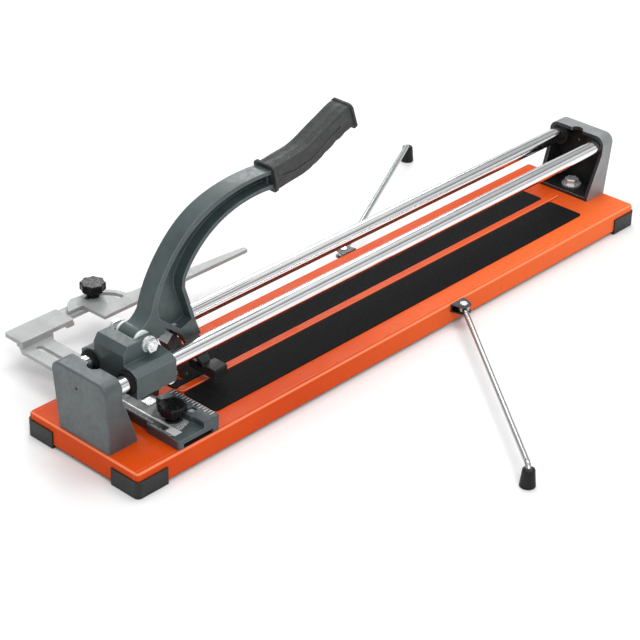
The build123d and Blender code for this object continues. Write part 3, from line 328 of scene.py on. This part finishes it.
def grip_rubber():
    """Dark rubber with a ribbed band along the top."""
    s = Shader("grip_rubber", (0.040, 0.041, 0.043), 0.55, Specular_IOR_Level=0.45)
    s.soft_edges(0.001)
    base = s.mix(s.mottle(50, 4), (0.026, 0.028, 0.029), (0.038, 0.040, 0.041))
    across = s.math("ABSOLUTE", s.position()[1])
    upward = s.ramp(s.facing()[2], 0.6, 0.8)
    ribs = s.math("SINE", s.math("MULTIPLY", across, 2200.0))
    band = s.math("MULTIPLY", s.between(across, 0.003, 0.0035, 0.0105, 0.011), upward)
    s.color(s.mix(s.math("MULTIPLY", band, 0.5), base, (0.018, 0.019, 0.020)))
    s.bump(s.math("MULTIPLY", ribs, band), 0.0004, 0.7)
    s.rough(s.mottle(150, 3, start=0.46, end=0.64))
    s.bump(s.noise(1500, 3), 0.00018, 0.5)
    return s.material


def seal_rubber():
    s = Shader("seal_rubber", (0.004, 0.004, 0.004), 0.6, Specular_IOR_Level=0.2)
    s.color(s.mix(s.mottle(300, 2), (0.003, 0.003, 0.003), (0.006, 0.006, 0.006)))
    s.rough(s.mottle(200, 3, start=0.5, end=0.7))
    s.bump(s.noise(900, 2), 0.0001, 0.3)
    return s.material


def nylon():
    s = Shader("nylon", (0.72, 0.75, 0.70), 0.42, Subsurface_Weight=0.1)
    s.color(s.mix(s.mottle(90, 3), (0.66, 0.70, 0.65), (0.80, 0.82, 0.78)))
    s.rough(s.mottle(260, 3, start=0.34, end=0.5))
    s.bump(s.noise(700, 2), 0.0001, 0.3)
    return s.material


def mark_paint():
    s = Shader("mark_paint", (0.80, 0.82, 0.82), 0.5)
    s.color(s.mix(s.mottle(900, 3, 0.3, 0.6), (0.55, 0.58, 0.58), (0.88, 0.90, 0.90)))
    s.rough(s.mottle(500, 2, start=0.4, end=0.6))
    return s.material


MATERIALS = {
    "orange_paint": orange_paint(),
    "slate_casting": cast_paint("slate_casting", (0.047, 0.067, 0.068)),
    "fence_casting": cast_paint("fence_casting", (0.033, 0.048, 0.054)),
    "near_casting": cast_paint("near_casting", (0.066, 0.083, 0.087), rim=(0, 1)),
    # Lighter copy of the casting paint for the far bracket: painted light standing in for the light
    # falling on it.
    "far_casting_lit": cast_paint("far_casting_lit", (0.21, 0.222, 0.230), 0.6, rim=(0, -1)),
    "guard_plastic": moulded("guard_plastic", (0.007, 0.008, 0.009), 0.42, 0.25, gloss=0.35),
    "foot_plastic": moulded("foot_plastic", (0.012, 0.014, 0.015), 0.42, 0.12, gloss=0.35),
    "black_plastic": moulded("black_plastic", (0.003, 0.003, 0.004), 0.28, 0.02, 0.2, False),
    "liner_plastic": moulded("liner_plastic", (0.006, 0.007, 0.008), 0.62, 0.3, gloss=0.2),
    "pad_rubber": pad_rubber(),
    "foot_rubber": moulded("foot_rubber", (0.004, 0.0045, 0.005), 0.5, 0.35, gloss=0.25),
    "chrome_rail": chrome("chrome_rail", 0.12, (0.90, 0.91, 0.92)),
    "leg_chrome": chrome("leg_chrome", 0.20, (0.46, 0.49, 0.49), (1, 1, 1)),
    "zinc": plated("zinc", (0.86, 0.88, 0.89), 0.24, metallic=0.72),
    "steel": plated("steel", (0.62, 0.63, 0.64), 0.26, (0.1, 1, 1)),
    "holder_steel": holder_steel(),
    "black_steel": plated("black_steel", (0.09, 0.092, 0.095), 0.38),
    "brass": plated("brass", (0.70, 0.52, 0.22), 0.3),
    "bronze": plated("bronze", (0.42, 0.30, 0.15), 0.45),
    "cast_aluminium": cast_aluminium(),
    "scale_metal": scale_metal(),
    "printed_plate": printed_plate(),
    "grip_rubber": grip_rubber(),
    "seal_rubber": seal_rubber(),
    "nylon": nylon(),
    "mark_paint": mark_paint(),
}

DRESS = {
    "orange_paint": ["base_pan"],
    "slate_casting": ["carriage", "lever"],
    "fence_casting": ["fence_bar"],
    "foot_plastic": ["breaker_foot"],
    "near_casting": ["near_bracket"],
    "far_casting_lit": ["far_bracket"],
    "guard_plastic": [
        "corner_guard_far_left",
        "corner_guard_far_right",
        "corner_guard_near_left",
        "corner_guard_near_right",
    ],
    "liner_plastic": ["near_bracket_liner", "far_bracket_liner"],
    "seal_rubber": ["rail_seal_right", "rail_seal_left"],
    "black_plastic": ["clamp_knob", "fence_knob"],
    "pad_rubber": ["bed_pad_right", "bed_pad_left"],
    "foot_rubber": ["centre_foot", "leg_foot_right", "leg_foot_left"],
    "chrome_rail": ["rail_right", "rail_left", "roller_right", "roller_left"],
    "leg_chrome": ["leg_right", "leg_left"],
    "zinc": [
        "bracket_bolts",
        "bracket_washers",
        "bracket_nuts",
        "pivot_bolt",
        "pivot_nut",
        "leg_pins",
        "fence_screws",
    ],
    "holder_steel": ["wheel_holder"],
    "steel": [
        "bed_spine",
        "fence_mount_screws",
        "roller_screws",
        "holder_screw",
        "wheel_axle",
        "foot_pin",
        "scoring_wheel",
        "swivel_pin",
        "fence_bolt",
        "clamp_bolt",
    ],
    "black_steel": ["leg_bracket_right", "leg_bracket_left"],
    "brass": ["clamp_knob_insert", "fence_knob_insert"],
    "bronze": [
        "rail_bush_right_front",
        "rail_bush_right_rear",
        "rail_bush_left_front",
        "rail_bush_left_rear",
    ],
    "cast_aluminium": ["extension_arm", "swivel_fence"],
    "scale_metal": ["scale_strip"],
    "printed_plate": ["scale_plates"],
    "grip_rubber": ["grip"],
    "nylon": ["thrust_washers"],
}

for key, names in DRESS.items():
    for name in names:
        node = bpy.data.objects[name]
        node.data.materials.clear()
        node.data.materials.append(MATERIALS[key])


# ---------------------------------------------------------------- details
def mesh_piece(name, material, body, build):
    """Make a mesh object from a bmesh builder and let it ride on a body."""
    data = bpy.data.meshes.new(name)
    work = bmesh.new()
    build(work)
    work.to_mesh(data)
    work.free()
    piece = bpy.data.objects.new(name, data)
    bpy.context.scene.collection.objects.link(piece)
    data.materials.append(MATERIALS[material])
    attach(piece, body)


def add_bar(work, low, high):
    """Add a thin box between two corners."""
    size = Vector(high) - Vector(low)
    middle = (Vector(high) + Vector(low)) / 2
    matrix = Matrix.Translation(middle) @ Matrix.Diagonal((*size, 1))
    bmesh.ops.create_cube(work, size=1, matrix=matrix)


def strip_marks(work):
    """Evenly spaced marks along the straight scale strip, every fourth one longer."""
    (x0, y0, _), (_, y1, top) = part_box("scale_strip")
    step = 0.0025
    margin = 0.003
    wide_part_ends = -0.044
    for i in range(int((y1 - y0 - 2 * margin) / step)):
        y = y0 + margin + i * step
        long = 0.0040 if i % 4 == 0 else 0.0024
        start = x0 + (0.0006 if y < wide_part_ends else 0.0046)
        add_bar(work, (start, y, top), (start + long, y + 0.0005, top + 0.0001))


def fence_marks(work):
    """Cast marks along the edge of both raised ends of the fence."""
    x1, _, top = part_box("fence_bar")[1]
    edge = x1 - 0.0014
    for side in (-1, 1):
        for i in range(15):
            y = side * (0.018 + i * 0.005)
            long = 0.008 if i % 2 == 0 else 0.005
            add_bar(work, (edge - long, y - 0.0004, top - 0.00002), (edge, y + 0.0004, top + 0.0001))


def channel_shade_sheet(work):
    """Dark sheet on the pan inside the channel of the fence, painted shade for the shadow in the channel.
    """
    (x0, y0, floor), (x1, y1, _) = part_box("fence_bar")
    low = (x0 + 0.009, y0 + 0.0005, floor + 0.00001)
    add_bar(work, low, (x1 - 0.0120, y1 - 0.0005, floor + 0.0002))


# A dark sheet as painted shade inside the fence channel.
mesh_piece("channel_shade_sheet", "liner_plastic", "base", channel_shade_sheet)
mesh_piece("strip_marks", "mark_paint", "base", strip_marks)
mesh_piece("fence_marks", "mark_paint", "base", fence_marks)


# ---------------------------------------------------------------- floor, light and camera
def make_stage():
    bpy.ops.mesh.primitive_plane_add(size=14, location=(0, 0, -0.0004))
    floor = bpy.context.object
    floor.name = "floor"
    floor.data.materials.append(Shader("floor", (0.86, 0.86, 0.86), 0.6, Specular_IOR_Level=0.2).material)


def area_light(name, position, target, size, power):
    data = bpy.data.lights.new(name, "AREA")
    data.shape = "RECTANGLE"
    data.size, data.size_y = size
    data.energy = power
    light = bpy.data.objects.new(name, data)
    light.location = position
    light.rotation_euler = (Vector(target) - Vector(position)).to_track_quat("-Z", "Y").to_euler()
    bpy.context.scene.collection.objects.link(light)


def make_world():
    """Pale studio surroundings with a grey band that gives the chrome its dark lines."""
    world = bpy.data.worlds.new("studio")
    bpy.context.scene.world = world
    world.use_nodes = True
    nodes = world.node_tree.nodes
    links = world.node_tree.links
    coord = nodes.new("ShaderNodeTexCoord")
    split = nodes.new("ShaderNodeSeparateXYZ")
    links.new(coord.outputs["Generated"], split.inputs[0])
    ramp = nodes.new("ShaderNodeValToRGB")
    links.new(split.outputs["Z"], ramp.inputs["Fac"])
    elements = ramp.color_ramp.elements
    for element, (place, value) in zip(elements, (SKY[0], SKY[-1])):
        element.position = place
        element.color = (value, value, value, 1)
    for place, value in SKY[1:-1]:
        element = elements.new(place)
        element.color = (value, value, value, 1)
    background = nodes["Background"]
    background.inputs["Strength"].default_value = 0.95
    links.new(ramp.outputs["Color"], background.inputs["Color"])


def make_camera():
    azimuth = radians(CAMERA_AZIMUTH)
    elevation = radians(CAMERA_ELEVATION)
    roll = radians(CAMERA_ROLL)
    back = Vector((sin(azimuth) * cos(elevation), -cos(azimuth) * cos(elevation), sin(elevation)))
    right = Vector((cos(azimuth), sin(azimuth), 0))
    up = back.cross(right)
    r = right * cos(roll) + up * sin(roll)
    u = up * cos(roll) - right * sin(roll)
    data = bpy.data.cameras.new("camera")
    data.sensor_width = 36
    data.lens = 18 / tan(radians(CAMERA_FOV) / 2)
    data.clip_end = 50
    camera = bpy.data.objects.new("camera", data)
    camera.matrix_world = Matrix.Translation(CAMERA_AT) @ Matrix((r, u, back)).transposed().to_4x4()
    bpy.context.scene.collection.objects.link(camera)
    bpy.context.scene.camera = camera


bpy.context.scene.view_settings.view_transform = "Standard"
make_stage()
make_world()
area_light("key", (-1.2, -2.2, 2.6), (0, 0, 0.1), (1.6, 1.2), 42)
area_light("top", (0.3, 0.2, 2.8), (0, 0, 0), (2.2, 1.4), 30)
area_light("rim", (1.6, 1.8, 1.6), (0, 0, 0.1), (1.2, 0.8), 18)
make_camera()
